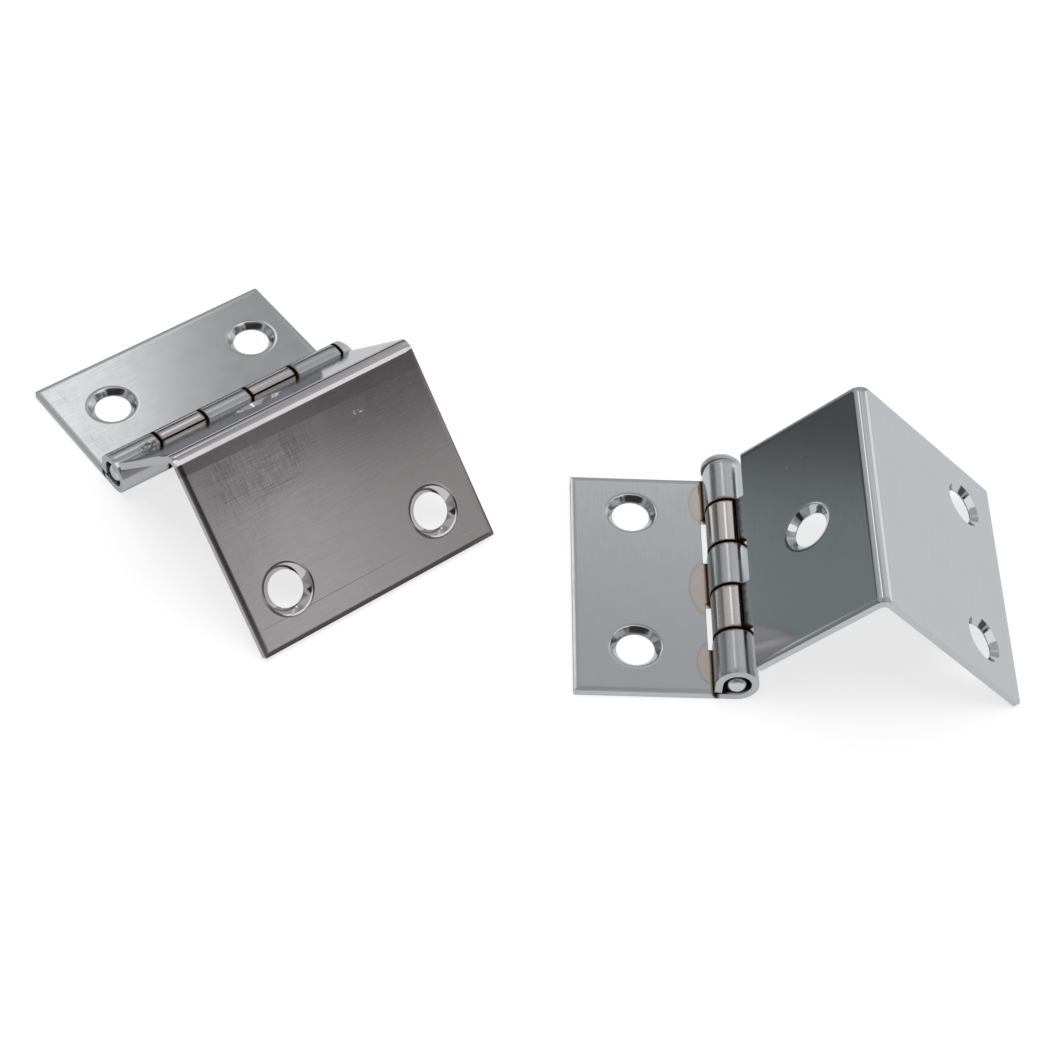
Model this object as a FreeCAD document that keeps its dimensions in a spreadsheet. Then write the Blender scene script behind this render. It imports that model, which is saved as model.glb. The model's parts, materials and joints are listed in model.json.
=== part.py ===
import FreeCAD, Part
import math
import os
import Sketcher

# A pair of wrap-around hinges, lying on a surface as two open tents.
# Each hinge is a flat leaf, an L-shaped leaf that wraps a door's edge and face, and a headed pin.
# Both leaves are cut from one gauge of sheet and curled round the pin in interleaved knuckles.
# Millimetres, +Z up. Each hinge's own frame has Y along its barrel, from the plain end of the
# pin to its head, the flat leaf towards -X, and Z = 0 at the back of the flat leaf.

doc = FreeCAD.newDocument("WrapAroundHinges")
sheet = doc.addObject("Spreadsheet::Sheet", "Sizes")

SIZES = [
    ("barrel_length", 38.1, "length of both leaves along the barrel"),
    ("sheet_thickness", 1.0, "gauge of both leaves"),
    ("bore_diameter", 3.8, "inside of the curled knuckles"),
    ("pin_diameter", 2.6, "shank of the pin"),
    ("flat_leaf_reach", 21.6, "barrel axis to the far edge of the flat leaf"),
    ("wrap_edge_reach", 25.4, "barrel axis to the outer face of the door-face panel"),
    ("wrap_face_reach", 29.9, "front of the door-edge panel to the far edge of the door-face panel"),
    ("wrap_panel_offset", 0.4, "barrel axis to the back of the door-edge panel"),
    ("fold_inner_radius", 0.75, "inside of the right-angled fold"),
    ("neck_radius", 0.25, "inside of the bend between the door-edge panel and its knuckles"),
    ("wrap_curl_end_angle", 32.0, "where the wrap leaf's curl ends, from the door-edge panel's direction"),
    ("flat_curl_end_gap", 0.25, "between the end of the flat leaf's curl and the leaf"),
    ("knuckle_seam", 0.3, "between neighbouring knuckles"),
    ("notch_clearance", 0.25, "between a barrel and the notch beside it"),
    ("corner_radius", 0.3, "outer corners of both leaves"),
    ("hole_diameter", 5.2, "screw holes where they leave the sheet"),
    ("countersink_diameter", 6.9, "screw holes at the front"),
    ("countersink_angle", 90.0, "full angle of the screw heads' seat"),
    ("flat_hole_reach", 13.1, "barrel axis to the flat leaf's screw holes"),
    ("flat_hole_spacing", 23.8, "between the flat leaf's screw holes"),
    ("flat_hole_shift", 0.7, "flat leaf's hole row, from mid-length towards the head"),
    ("edge_hole_reach", 14.3, "barrel axis to the door-edge panel's screw hole"),
    ("edge_hole_shift", -0.4, "door-edge panel's hole, from mid-length towards the head"),
    ("face_hole_inset", 7.0, "far edge to the door-face panel's screw holes"),
    ("face_hole_spacing", 24.0, "between the door-face panel's screw holes"),
    ("pin_head_rim", 0.5, "straight side of the pin's head"),
    ("pin_head_dome", 1.1, "rise of the head's dome above its side"),
    ("pin_recess", 0.3, "plain end of the pin behind the end of the barrel"),
    ("pin_end_chamfer", 0.35, "broken edge of the pin's plain end"),
    ("right_x", 30.25, "right hinge: plain end of the barrel, from the pair's origin"),
    ("right_y", -37.15, "right hinge: the same, along Y"),
    ("right_turn", 0.0, "right hinge: turn about Z"),
    ("right_pin_shift", -0.3, "right hinge: the loose pin's axis beside the barrel's"),
    ("left_x", -55.45, "left hinge: plain end of the barrel, from the pair's origin"),
    ("left_y", -2.95, "left hinge: the same, along Y"),
    ("left_turn", -52.5, "left hinge: turn about Z"),
    ("left_pin_shift", 0.0, "left hinge: the loose pin's axis beside the barrel's"),
]
for row, (name, value, use) in enumerate(SIZES, start=1):
    sheet.set(f"A{row}", name)
    sheet.set(f"B{row}", str(value))
    sheet.set(f"C{row}", use)
    sheet.setAlias(f"B{row}", name)
doc.recompute()

KNUCKLES = 5
FLAT_KNUCKLES = (0, 2, 4)
WRAP_KNUCKLES = (1, 3)

BORE_R = "Sizes.bore_diameter / 2"
BARREL_R = "(Sizes.bore_diameter / 2 + Sizes.sheet_thickness)"
PITCH = f"(Sizes.barrel_length / {KNUCKLES})"
NOTCH_REACH = f"({BARREL_R} + Sizes.notch_clearance)"
NOTCH_DEPTH = f"4 * {NOTCH_REACH}"
HOLE_DEPTH = "2 * Sizes.sheet_thickness"
MID = "(Sizes.barrel_length / 2)"
WRAP_FRONT = "(Sizes.wrap_panel_offset + Sizes.sheet_thickness)"
FACE_DROP = f"(Sizes.wrap_face_reach - {WRAP_FRONT})"
FACE_INNER = "(Sizes.wrap_edge_reach - Sizes.sheet_thickness)"

# A sketch's own numbers for the points of a line or arc, for its origin and for its axes.
START, END, CENTRE = range(1, 4)
ORIGIN = (-1, START)
X_AXIS = ORIGIN[0]
Y_AXIS = X_AXIS - 1


def size(name):
    """Value of a cell of the sheet."""
    return float(sheet.get(name))


def new_sketch(body, name, plane, offset=None):
    """Sketch on one of the body's own planes, moved along its normal by an expression."""
    origin_plane = next(f for f in body.Origin.OriginFeatures if f.Role == plane)
    sketch = body.newObject("Sketcher::SketchObject", name)
    sketch.AttachmentSupport = [(origin_plane, "")]
    sketch.MapMode = "FlatFace"
    if offset:
        sketch.setExpression("AttachmentOffset.Base.z", offset)
    return sketch


def line(sketch, x1, y1, x2, y2):
    return sketch.addGeometry(Part.LineSegment(FreeCAD.Vector(x1, y1, 0), FreeCAD.Vector(x2, y2, 0)))


def arc(sketch, cx, cy, radius, start, end):
    """Arc counter-clockwise from start to end, in degrees."""
    circle = Part.Circle(FreeCAD.Vector(cx, cy, 0), FreeCAD.Vector(0, 0, 1), radius)
    return sketch.addGeometry(Part.ArcOfCircle(circle, math.radians(start), math.radians(end)))


def tie(sketch, kind, *where):
    """Geometric constraint."""
    return sketch.addConstraint(Sketcher.Constraint(kind, *where))


def measure(sketch, kind, where, value, expression):
    """Dimension of the sketch, bound to the sheet."""
    index = sketch.addConstraint(Sketcher.Constraint(kind, *where, value))
    sketch.setExpression(f"Constraints[{index}]", expression)
    return index


def place_point(sketch, geometry, point, x, y, x_expression, y_expression):
    """Pins a point by its distances from the sketch's origin."""
    measure(sketch, "DistanceX", (*ORIGIN, geometry, point), x, x_expression)
    measure(sketch, "DistanceY", (*ORIGIN, geometry, point), y, y_expression)


def rectangle(sketch, low, high, low_expressions, high_expressions):
    """Rectangle with two opposite corners bound to the sheet."""
    (x1, y1), (x2, y2) = low, high
    sides = [line(sketch, x1, y1, x2, y1), line(sketch, x2, y1, x2, y2)]
    sides += [line(sketch, x2, y2, x1, y2), line(sketch, x1, y2, x1, y1)]
    for k in range(4):
        tie(sketch, "Coincident", sides[k], END, sides[(k + 1) % 4], START)
        tie(sketch, "Horizontal" if k % 2 == 0 else "Vertical", sides[k])
    place_point(sketch, sides[0], START, x1, y1, *low_expressions)
    place_point(sketch, sides[2], START, x2, y2, *high_expressions)


def pad_along_barrel(body, sketch):
    """Sheet section run along +Y for the length of the barrel."""
    pad = body.newObject("PartDesign::Pad", sketch.Name + "Pad")
    pad.Profile = sketch
    pad.Reversed = True
    pad.setExpression("Length", "Sizes.barrel_length")
    return pad


def cut_knuckles(body, name, knuckles, side):
    """Notches that leave room for the other leaf's knuckles: side is -1 towards -X, +1 towards +X."""
    sketch = new_sketch(body, name, "XY_Plane")
    pitch = size("barrel_length") / KNUCKLES
    reach = size("bore_diameter") / 2 + size("sheet_thickness") + size("notch_clearance")
    for knuckle in knuckles:
        start = knuckle * pitch - size("knuckle_seam") / 2
        end = (knuckle + 1) * pitch + size("knuckle_seam") / 2
        rectangle(
            sketch, (-side * reach, start), (side * reach, end),
            (f"{-side} * {NOTCH_REACH}", f"{knuckle} * {PITCH} - Sizes.knuckle_seam / 2"),
            (f"{side} * {NOTCH_REACH}", f"{knuckle + 1} * {PITCH} + Sizes.knuckle_seam / 2"),
        )
    pocket = body.newObject("PartDesign::Pocket", name + "Pocket")
    pocket.Profile = sketch
    pocket.Type = "Length"
    pocket.SideType = "Symmetric"
    pocket.setExpression("Length", NOTCH_DEPTH)
    doc.recompute()
    return pocket


def countersunk_holes(body, name, plane, offset, centres):
    """Countersunk screw holes through the sheet, from the front that the plane lies on."""
    sketch = new_sketch(body, name, plane, offset)
    radius = size("hole_diameter") / 2
    for x, y, x_expression, y_expression in centres:
        circle = Part.Circle(FreeCAD.Vector(x, y, 0), FreeCAD.Vector(0, 0, 1), radius)
        index = sketch.addGeometry(circle)
        place_point(sketch, index, CENTRE, x, y, x_expression, y_expression)
        measure(sketch, "Radius", (index,), radius, "Sizes.hole_diameter / 2")
    doc.recompute()
    hole = body.newObject("PartDesign::Hole", name + "Hole")
    hole.Profile = sketch
    doc.recompute()
    hole.ThreadType = "None"
    hole.DrillPoint = "Flat"
    hole.DepthType = "Dimension"
    hole.setExpression("Depth", HOLE_DEPTH)
    hole.setExpression("Diameter", "Sizes.hole_diameter")
    hole.HoleCutType = "Countersink"
    hole.HoleCutCustomValues = True
    hole.setExpression("HoleCutDiameter", "Sizes.countersink_diameter")
    hole.setExpression("HoleCutCountersinkAngle", "Sizes.countersink_angle")
    doc.recompute()
    return hole


def round_corners(body, corners):
    """Rounds the sheet's outer corners: the short straight edges through the given points."""
    base = body.Tip
    names = []
    for index, edge in enumerate(base.Shape.Edges, start=1):
        middle = edge.CenterOfMass
        if any((middle - corner).Length < 0.01 for corner in corners):
            names.append(f"Edge{index}")
    if len(names) != len(corners):
        raise ValueError(f"{body.Label}: {len(names)} of {len(corners)} corners found")
    fillet = body.newObject("PartDesign::Fillet", body.Name + "Corners")
    fillet.Base = (base, names)
    fillet.setExpression("Radius", "Sizes.corner_radius")
    doc.recompute()
    return fillet


def flat_leaf(label, placement):
    """Flat leaf: a plate whose edge curls up over the pin, with its back at Z = 0."""
    body = doc.addObject("PartDesign::Body", label)
    thickness, bore = size("sheet_thickness"), size("bore_diameter") / 2
    barrel = bore + thickness
    reach, gap = size("flat_leaf_reach"), size("flat_curl_end_gap")

    section = new_sketch(body, label + "_section", "XZ_Plane")
    back = line(section, -reach, 0, 0, 0)
    outside = arc(section, 0, barrel, barrel, -90, 180)
    tail_outside = line(section, -barrel, barrel, -barrel, thickness + gap)
    tail_end = line(section, -barrel, thickness + gap, -bore, thickness + gap)
    tail_inside = line(section, -bore, thickness + gap, -bore, barrel)
    inside = arc(section, 0, barrel, bore, -90, 180)
    front = line(section, 0, thickness, -reach, thickness)
    far_edge = line(section, -reach, thickness, -reach, 0)
    tie(section, "Tangent", back, END, outside, START)
    tie(section, "Tangent", outside, END, tail_outside, START)
    tie(section, "Coincident", tail_outside, END, tail_end, START)
    tie(section, "Coincident", tail_end, END, tail_inside, START)
    tie(section, "Tangent", tail_inside, END, inside, END)
    tie(section, "Tangent", inside, START, front, START)
    tie(section, "Coincident", front, END, far_edge, START)
    tie(section, "Coincident", far_edge, END, back, START)
    for level in (back, tail_end, front):
        tie(section, "Horizontal", level)
    for upright in (tail_outside, tail_inside, far_edge):
        tie(section, "Vertical", upright)
    tie(section, "PointOnObject", back, START, X_AXIS)
    tie(section, "PointOnObject", outside, CENTRE, Y_AXIS)
    tie(section, "Coincident", inside, CENTRE, outside, CENTRE)
    measure(section, "Radius", (inside,), bore, BORE_R)
    measure(section, "Radius", (outside,), barrel, BARREL_R)
    measure(section, "DistanceX", (back, START, back, END), reach, "Sizes.flat_leaf_reach")
    measure(section, "DistanceY", (*ORIGIN, tail_end, START), thickness + gap,
            "Sizes.sheet_thickness + Sizes.flat_curl_end_gap")
    pad_along_barrel(body, section)
    doc.recompute()

    cut_knuckles(body, label + "_notches", WRAP_KNUCKLES, -1)
    row = MID + " + Sizes.flat_hole_shift"
    row_y = size("barrel_length") / 2 + size("flat_hole_shift")
    centres = []
    for end in (-1, 1):
        centres.append((
            -size("flat_hole_reach"), row_y + end * size("flat_hole_spacing") / 2,
            "-Sizes.flat_hole_reach", f"{row} + {end} * Sizes.flat_hole_spacing / 2",
        ))
    countersunk_holes(body, label + "_screws", "XY_Plane", "Sizes.sheet_thickness", centres)
    corners = [FreeCAD.Vector(-reach, y, thickness / 2) for y in (0, size("barrel_length"))]
    round_corners(body, corners)
    body.setExpression("Placement", placement)
    return body


def wrap_leaf(label, placement):
    """Wrap leaf: door-edge panel, right-angled fold and door-face panel, with the barrel's axis as origin."""
    body = doc.addObject("PartDesign::Body", label)
    thickness, bore = size("sheet_thickness"), size("bore_diameter") / 2
    barrel = bore + thickness
    offset, neck, fold = size("wrap_panel_offset"), size("neck_radius"), size("fold_inner_radius")
    front, reach = offset + thickness, size("wrap_edge_reach")
    far = front - size("wrap_face_reach")
    end_angle = size("wrap_curl_end_angle")
    # The neck bends away from the panel's front and meets the knuckle where both run the same way.
    neck_z = offset - neck
    meet_angle = math.degrees(math.asin(neck_z / (neck + barrel)))
    neck_x = (neck + barrel) * math.cos(math.radians(meet_angle))
    fold_x, fold_z = reach - thickness - fold, offset - fold
    end_x, end_z = math.cos(math.radians(end_angle)), math.sin(math.radians(end_angle))

    section = new_sketch(body, label + "_section", "XZ_Plane")
    face_outside = line(section, reach, far, reach, fold_z)
    fold_outside = arc(section, fold_x, fold_z, fold + thickness, 0, 90)
    edge_front = line(section, fold_x, front, neck_x, front)
    neck_front = arc(section, neck_x, neck_z, neck + thickness, 90, 180 + meet_angle)
    curl_inside = arc(section, 0, 0, bore, end_angle, 360 + meet_angle)
    curl_end = line(section, bore * end_x, bore * end_z, barrel * end_x, barrel * end_z)
    curl_outside = arc(section, 0, 0, barrel, end_angle, 360 + meet_angle)
    neck_back = arc(section, neck_x, neck_z, neck, 90, 180 + meet_angle)
    edge_back = line(section, neck_x, offset, fold_x, offset)
    fold_inside = arc(section, fold_x, fold_z, fold, 0, 90)
    face_inside = line(section, reach - thickness, fold_z, reach - thickness, far)
    far_edge = line(section, reach - thickness, far, reach, far)
    tie(section, "Tangent", face_outside, END, fold_outside, START)
    tie(section, "Tangent", fold_outside, END, edge_front, START)
    tie(section, "Tangent", edge_front, END, neck_front, START)
    tie(section, "Tangent", neck_front, END, curl_inside, END)
    tie(section, "Coincident", curl_inside, START, curl_end, START)
    tie(section, "Coincident", curl_end, END, curl_outside, START)
    tie(section, "Tangent", curl_outside, END, neck_back, END)
    tie(section, "Tangent", neck_back, START, edge_back, START)
    tie(section, "Tangent", edge_back, END, fold_inside, END)
    tie(section, "Tangent", fold_inside, START, face_inside, START)
    tie(section, "Coincident", face_inside, END, far_edge, START)
    tie(section, "Coincident", far_edge, END, face_outside, START)
    for level in (edge_front, edge_back, far_edge):
        tie(section, "Horizontal", level)
    for upright in (face_outside, face_inside):
        tie(section, "Vertical", upright)
    tie(section, "Coincident", curl_inside, CENTRE, *ORIGIN)
    tie(section, "Coincident", curl_outside, CENTRE, *ORIGIN)
    tie(section, "Coincident", fold_inside, CENTRE, fold_outside, CENTRE)
    tie(section, "Coincident", neck_back, CENTRE, neck_front, CENTRE)
    tie(section, "PointOnObject", *ORIGIN, curl_end)
    measure(section, "Angle", (X_AXIS, curl_end), math.radians(end_angle),
            "Sizes.wrap_curl_end_angle * 1 deg")
    measure(section, "Radius", (curl_inside,), bore, BORE_R)
    measure(section, "Radius", (curl_outside,), barrel, BARREL_R)
    measure(section, "Radius", (neck_back,), neck, "Sizes.neck_radius")
    measure(section, "Radius", (fold_inside,), fold, "Sizes.fold_inner_radius")
    measure(section, "DistanceY", (*ORIGIN, edge_back, START), offset, "Sizes.wrap_panel_offset")
    place_point(section, face_outside, START, reach, far,
                "Sizes.wrap_edge_reach", f"-{FACE_DROP}")
    pad_along_barrel(body, section)
    doc.recompute()

    cut_knuckles(body, label + "_notches", FLAT_KNUCKLES, 1)
    middle = size("barrel_length") / 2
    edge_centre = (
        size("edge_hole_reach"), middle + size("edge_hole_shift"),
        "Sizes.edge_hole_reach", MID + " + Sizes.edge_hole_shift",
    )
    countersunk_holes(body, label + "_edge_screw", "XY_Plane", WRAP_FRONT, [edge_centre])
    face_centres = []
    for end in (-1, 1):
        face_centres.append((
            middle + end * size("face_hole_spacing") / 2, far + size("face_hole_inset"),
            f"{MID} + {end} * Sizes.face_hole_spacing / 2", f"Sizes.face_hole_inset - {FACE_DROP}",
        ))
    countersunk_holes(body, label + "_face_screws", "YZ_Plane", "Sizes.wrap_edge_reach", face_centres)
    corners = [FreeCAD.Vector(reach - thickness / 2, y, far) for y in (0, size("barrel_length"))]
    round_corners(body, corners)
    body.setExpression("Placement", placement)
    return body


def pin(label, placement):
    """Pin: a plain shank with a broken end, and a domed head as wide as the barrel."""
    body = doc.addObject("PartDesign::Body", label)
    length, shank = size("barrel_length"), size("pin_diameter") / 2
    head = size("bore_diameter") / 2 + size("sheet_thickness")
    rim, dome = size("pin_head_rim"), size("pin_head_dome")
    start, chamfer = size("pin_recess"), size("pin_end_chamfer")
    dome_r = (head ** 2 + dome ** 2) / (2 * dome)
    dome_y = length + rim + dome - dome_r
    dome_start = math.degrees(math.atan2(length + rim - dome_y, head))

    section = new_sketch(body, label + "_section", "XY_Plane")
    axis = line(section, 0, length + rim + dome, 0, start)
    end_face = line(section, 0, start, shank - chamfer, start)
    broken = line(section, shank - chamfer, start, shank, start + chamfer)
    side = line(section, shank, start + chamfer, shank, length)
    under_head = line(section, shank, length, head, length)
    head_side = line(section, head, length, head, length + rim)
    crown = arc(section, 0, dome_y, dome_r, dome_start, 90)
    chain = [axis, end_face, broken, side, under_head, head_side]
    for first, second in zip(chain, chain[1:]):
        tie(section, "Coincident", first, END, second, START)
    tie(section, "Coincident", head_side, END, crown, START)
    tie(section, "Coincident", crown, END, axis, START)
    tie(section, "Vertical", axis)
    tie(section, "Vertical", side)
    tie(section, "Vertical", head_side)
    tie(section, "Horizontal", end_face)
    tie(section, "Horizontal", under_head)
    tie(section, "PointOnObject", crown, CENTRE, Y_AXIS)
    place_point(section, axis, END, 0, start, "0 * Sizes.pin_recess", "Sizes.pin_recess")
    place_point(section, broken, END, shank, start + chamfer,
                "Sizes.pin_diameter / 2", "Sizes.pin_recess + Sizes.pin_end_chamfer")
    measure(section, "DistanceX", (end_face, START, end_face, END), shank - chamfer,
            "Sizes.pin_diameter / 2 - Sizes.pin_end_chamfer")
    place_point(section, head_side, START, head, length, BARREL_R, "Sizes.barrel_length")
    measure(section, "DistanceY", (head_side, START, head_side, END), rim, "Sizes.pin_head_rim")
    measure(section, "DistanceY", (head_side, END, crown, END), dome, "Sizes.pin_head_dome")
    turned = body.newObject("PartDesign::Revolution", label + "_turned")
    turned.Profile = section
    turned.ReferenceAxis = (section, ["V_Axis"])
    turned.Angle = 360
    doc.recompute()
    body.setExpression("Placement", placement)
    return body


def placed(side, lift="0", tilt="0", shift="0"):
    """Placement of a piece of one hinge: on the floor, turned about Z, raised and tilted about its barrel."""
    on_floor = f"placement(vector(Sizes.{side}_x; Sizes.{side}_y; 0); "
    on_floor += f"rotation(vector(0; 0; 1); Sizes.{side}_turn * 1 deg))"
    about_barrel = f"placement(vector({shift}; 0; {lift}); rotation(vector(0; 1; 0); {tilt}))"
    return f"{on_floor} * {about_barrel}"


# The wrap leaf leans back until the inner corner of the door-face panel's far edge is on the floor.
TENT = f"-(atan({FACE_DROP} / {FACE_INNER}) - asin({BARREL_R} / sqrt({FACE_DROP}^2 + {FACE_INNER}^2)))"

pieces = []
for hinge in ("left", "right"):
    pieces.append(flat_leaf(f"{hinge}_flat_leaf", placed(hinge)))
    pieces.append(wrap_leaf(f"{hinge}_wrap_leaf", placed(hinge, BARREL_R, TENT)))
    pieces.append(pin(f"{hinge}_pin", placed(hinge, BARREL_R, shift=f"Sizes.{hinge}_pin_shift")))
doc.recompute()

for item in doc.Objects:
    if {"Invalid", "Error"} & set(item.State):
        raise RuntimeError(f"{item.Label} did not build: {item.State}")
    if item.isDerivedFrom("Sketcher::SketchObject") and item.solve() != 0:
        raise RuntimeError(f"{item.Label} does not solve")
for piece in pieces:
    if piece.Shape.isNull() or not piece.Shape.isValid() or len(piece.Shape.Solids) != 1:
        raise RuntimeError(f"{piece.Label} is not one valid solid")

os.makedirs("parts", exist_ok=True)
for piece in pieces:
    piece.Shape.exportStep(f"parts/{piece.Label}.step")
    box = piece.Shape.BoundBox
    print(f"{piece.Label}: volume {piece.Shape.Volume:.2f}, "
          f"x {box.XMin:.2f} to {box.XMax:.2f}, y {box.YMin:.2f} to {box.YMax:.2f}, "
          f"z {box.ZMin:.3f} to {box.ZMax:.2f}")
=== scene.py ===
import json
import math

import bpy
from bpy.props import FloatProperty, FloatVectorProperty, IntProperty, PointerProperty
from mathutils import Matrix, Vector

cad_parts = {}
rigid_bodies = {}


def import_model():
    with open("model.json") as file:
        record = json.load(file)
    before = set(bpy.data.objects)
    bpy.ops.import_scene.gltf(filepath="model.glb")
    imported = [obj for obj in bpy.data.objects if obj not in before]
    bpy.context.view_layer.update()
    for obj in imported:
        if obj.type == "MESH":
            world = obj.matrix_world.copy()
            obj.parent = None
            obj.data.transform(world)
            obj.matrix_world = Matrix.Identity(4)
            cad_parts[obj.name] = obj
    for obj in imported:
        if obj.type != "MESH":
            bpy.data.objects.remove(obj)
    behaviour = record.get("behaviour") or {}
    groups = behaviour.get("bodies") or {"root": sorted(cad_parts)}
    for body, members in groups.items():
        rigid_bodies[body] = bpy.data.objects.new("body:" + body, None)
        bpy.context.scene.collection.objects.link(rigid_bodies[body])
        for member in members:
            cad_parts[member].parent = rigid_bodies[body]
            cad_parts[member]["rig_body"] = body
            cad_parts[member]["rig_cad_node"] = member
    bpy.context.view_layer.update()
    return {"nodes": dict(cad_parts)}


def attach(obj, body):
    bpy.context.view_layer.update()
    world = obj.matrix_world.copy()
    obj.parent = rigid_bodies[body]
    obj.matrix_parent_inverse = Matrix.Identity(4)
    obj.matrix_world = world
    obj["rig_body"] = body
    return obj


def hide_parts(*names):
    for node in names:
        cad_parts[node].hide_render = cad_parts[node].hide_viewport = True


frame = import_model()

bl_info = {
    "name": "Wrap-around hinge pair",
    "version": (1, 0, 0),
    "blender": (4, 5, 0),
    "location": "View3D > Sidebar > Hinges",
    "description": "Plated sheet, pins and studio for a pair of wrap-around hinges",
    "category": "Object",
}

MM = 0.001

# Each hinge's own frame, in millimetres and degrees: the plain end of its barrel on the floor, and
# its turn about Z. The pins are loose: each end lies off the barrel's axis, sideways and up. The
# head stands off the barrel by its gap, and its rim is the straight part below the dome.
HINGES = {
    "right": {
        "place": (30.25, -37.15), "turn": 0.0,
        "plain_end": (0.0, -0.4), "head_end": (-0.25, 0.0), "head_gap": 0.1, "head_rim": 0.7,
    },
    "left": {
        "place": (-55.45, -2.95), "turn": -52.5,
        "plain_end": (0.0, 0.0), "head_end": (0.0, 0.0), "head_gap": 0.3, "head_rim": 1.0,
    },
}
BODY_OF_LEAF = {"right": "right_door_leaf", "left": "left_door_leaf"}
# How the wrap leaves rise from the floor, as a turn about Y in degrees.
TENT_TILT = -44.99868

# Modelling: distances in metres, angles in degrees.
LEAF_MERGE = 0.002 * MM
PIN_MERGE = 0.003 * MM
FLAT_WITHIN = 0.2
NOTCH_TOLERANCE = 0.03 * MM
BREAK_EDGES_OVER = 33
LEAF_SMOOTH_UP_TO = 46
PIN_SMOOTH_UP_TO = 35
PIN_CROWN = 0.06 * MM
PIN_CHAMFER = 0.35 * MM
HEAD_EASE = 0.06 * MM
DOME_STEPS = 12
SPIN_STEPS = 72


# Sizes and colours.


class PlatingSettings(bpy.types.PropertyGroup):
    edge_break: FloatProperty(
        name="Edge break", description="Softened edge of the stamped and plated sheet",
        default=0.09 * MM, min=0.0, subtype="DISTANCE", unit="LENGTH")
    edge_segments: IntProperty(
        name="Edge segments", description="Facets across a softened edge", default=3, min=1, max=6)
    sheet_tint: FloatVectorProperty(
        name="Plating", description="Colour of the bright plating on the leaves",
        default=(0.485, 0.50, 0.51), subtype="COLOR", min=0.0, max=1.0)
    pin_tint: FloatVectorProperty(
        name="Pin plating", description="Colour of the plating on the pins",
        default=(0.57, 0.58, 0.59), subtype="COLOR", min=0.0, max=1.0)
    rubbed_tint: FloatVectorProperty(
        name="Rubbed plating", description="Colour of the left wrap leaf's plating, a little warmer",
        default=(0.515, 0.50, 0.504), subtype="COLOR", min=0.0, max=1.0)
    right_grazing_tint: FloatVectorProperty(
        name="Right grazing tint",
        description="How much of the light the right hinge mirrors at a low angle",
        default=(0.82, 0.83, 0.84), subtype="COLOR", min=0.0, max=1.0)
    left_grazing_tint: FloatVectorProperty(
        name="Left grazing tint",
        description="How much of the light the left hinge mirrors at a low angle",
        default=(0.58, 0.59, 0.61), subtype="COLOR", min=0.0, max=1.0)
    warm_tint: FloatVectorProperty(
        name="Warm plating", description="Colour of the plating on the wrap leaves' knuckles",
        default=(0.585, 0.565, 0.55), subtype="COLOR", min=0.0, max=1.0)
    tarnish_tint: FloatVectorProperty(
        name="Tarnish", description="Brown tarnish beside the seams between the knuckles",
        default=(0.26, 0.13, 0.06), subtype="COLOR", min=0.0, max=1.0)
    stain_tint: FloatVectorProperty(
        name="Stain", description="Tan stains beside the right hinge's knuckles",
        default=(0.55, 0.45, 0.34), subtype="COLOR", min=0.0, max=1.0)
    roll_width: FloatProperty(
        name="Edge roll width", description="How far in the sheared edges are drawn down",
        default=1.0 * MM, min=0.0, subtype="DISTANCE", unit="LENGTH")
    roll_depth: FloatProperty(
        name="Edge roll depth", description="How much the sheared edges are drawn down",
        default=0.08 * MM, min=0.0, subtype="DISTANCE", unit="LENGTH")


class BarrelSettings(bpy.types.PropertyGroup):
    length: FloatProperty(
        name="Length", description="Length of the barrel", default=38.1 * MM,
        subtype="DISTANCE", unit="LENGTH")
    radius: FloatProperty(
        name="Radius", description="Outside of the knuckles", default=2.9 * MM,
        subtype="DISTANCE", unit="LENGTH")
    pin_radius: FloatProperty(
        name="Pin radius", description="Radius of the pin's shank", default=1.3 * MM,
        subtype="DISTANCE", unit="LENGTH")
    pin_recess: FloatProperty(
        name="Pin recess", description="Plain end of the pin behind the end of the barrel",
        default=0.1 * MM, subtype="DISTANCE", unit="LENGTH")
    head_dome: FloatProperty(
        name="Head dome", description="Rise of the pin's domed head", default=1.5 * MM,
        subtype="DISTANCE", unit="LENGTH")
    notch_reach: FloatProperty(
        name="Notch reach", description="Barrel axis to the notches, as the solids have them",
        default=3.15 * MM, subtype="DISTANCE", unit="LENGTH")
    flat_notch_extra: FloatProperty(
        name="Flat notch extra", description="How much deeper the flat leaf's notches are cut",
        default=0.2 * MM, subtype="DISTANCE", unit="LENGTH")
    wrap_notch_extra: FloatProperty(
        name="Wrap notch extra", description="How much deeper the wrap leaf's notches are cut",
        default=1.1 * MM, subtype="DISTANCE", unit="LENGTH")


class StageSettings(bpy.types.PropertyGroup):
    floor_size: FloatProperty(
        name="Floor", description="Side of the square floor", default=3.0,
        subtype="DISTANCE", unit="LENGTH")
    floor_tint: FloatVectorProperty(
        name="Floor colour", description="Pale matt floor", default=(0.42, 0.42, 0.42),
        subtype="COLOR", min=0.0, max=1.0)
    floor_glow: FloatProperty(
        name="Floor glow", description="Lift of the floor towards white where it is seen",
        default=0.69, min=0.0)
    lens: FloatProperty(
        name="Lens", description="Focal length on a 36 mm sensor", default=87.644, unit="CAMERA")


# Modelling helpers.


def deselect_all():
    if bpy.context.object and bpy.context.object.mode != "OBJECT":
        bpy.ops.object.mode_set(mode="OBJECT")
    bpy.ops.object.select_all(action="DESELECT")


def make_active(piece):
    deselect_all()
    piece.select_set(True)
    bpy.context.view_layer.objects.active = piece


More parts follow.
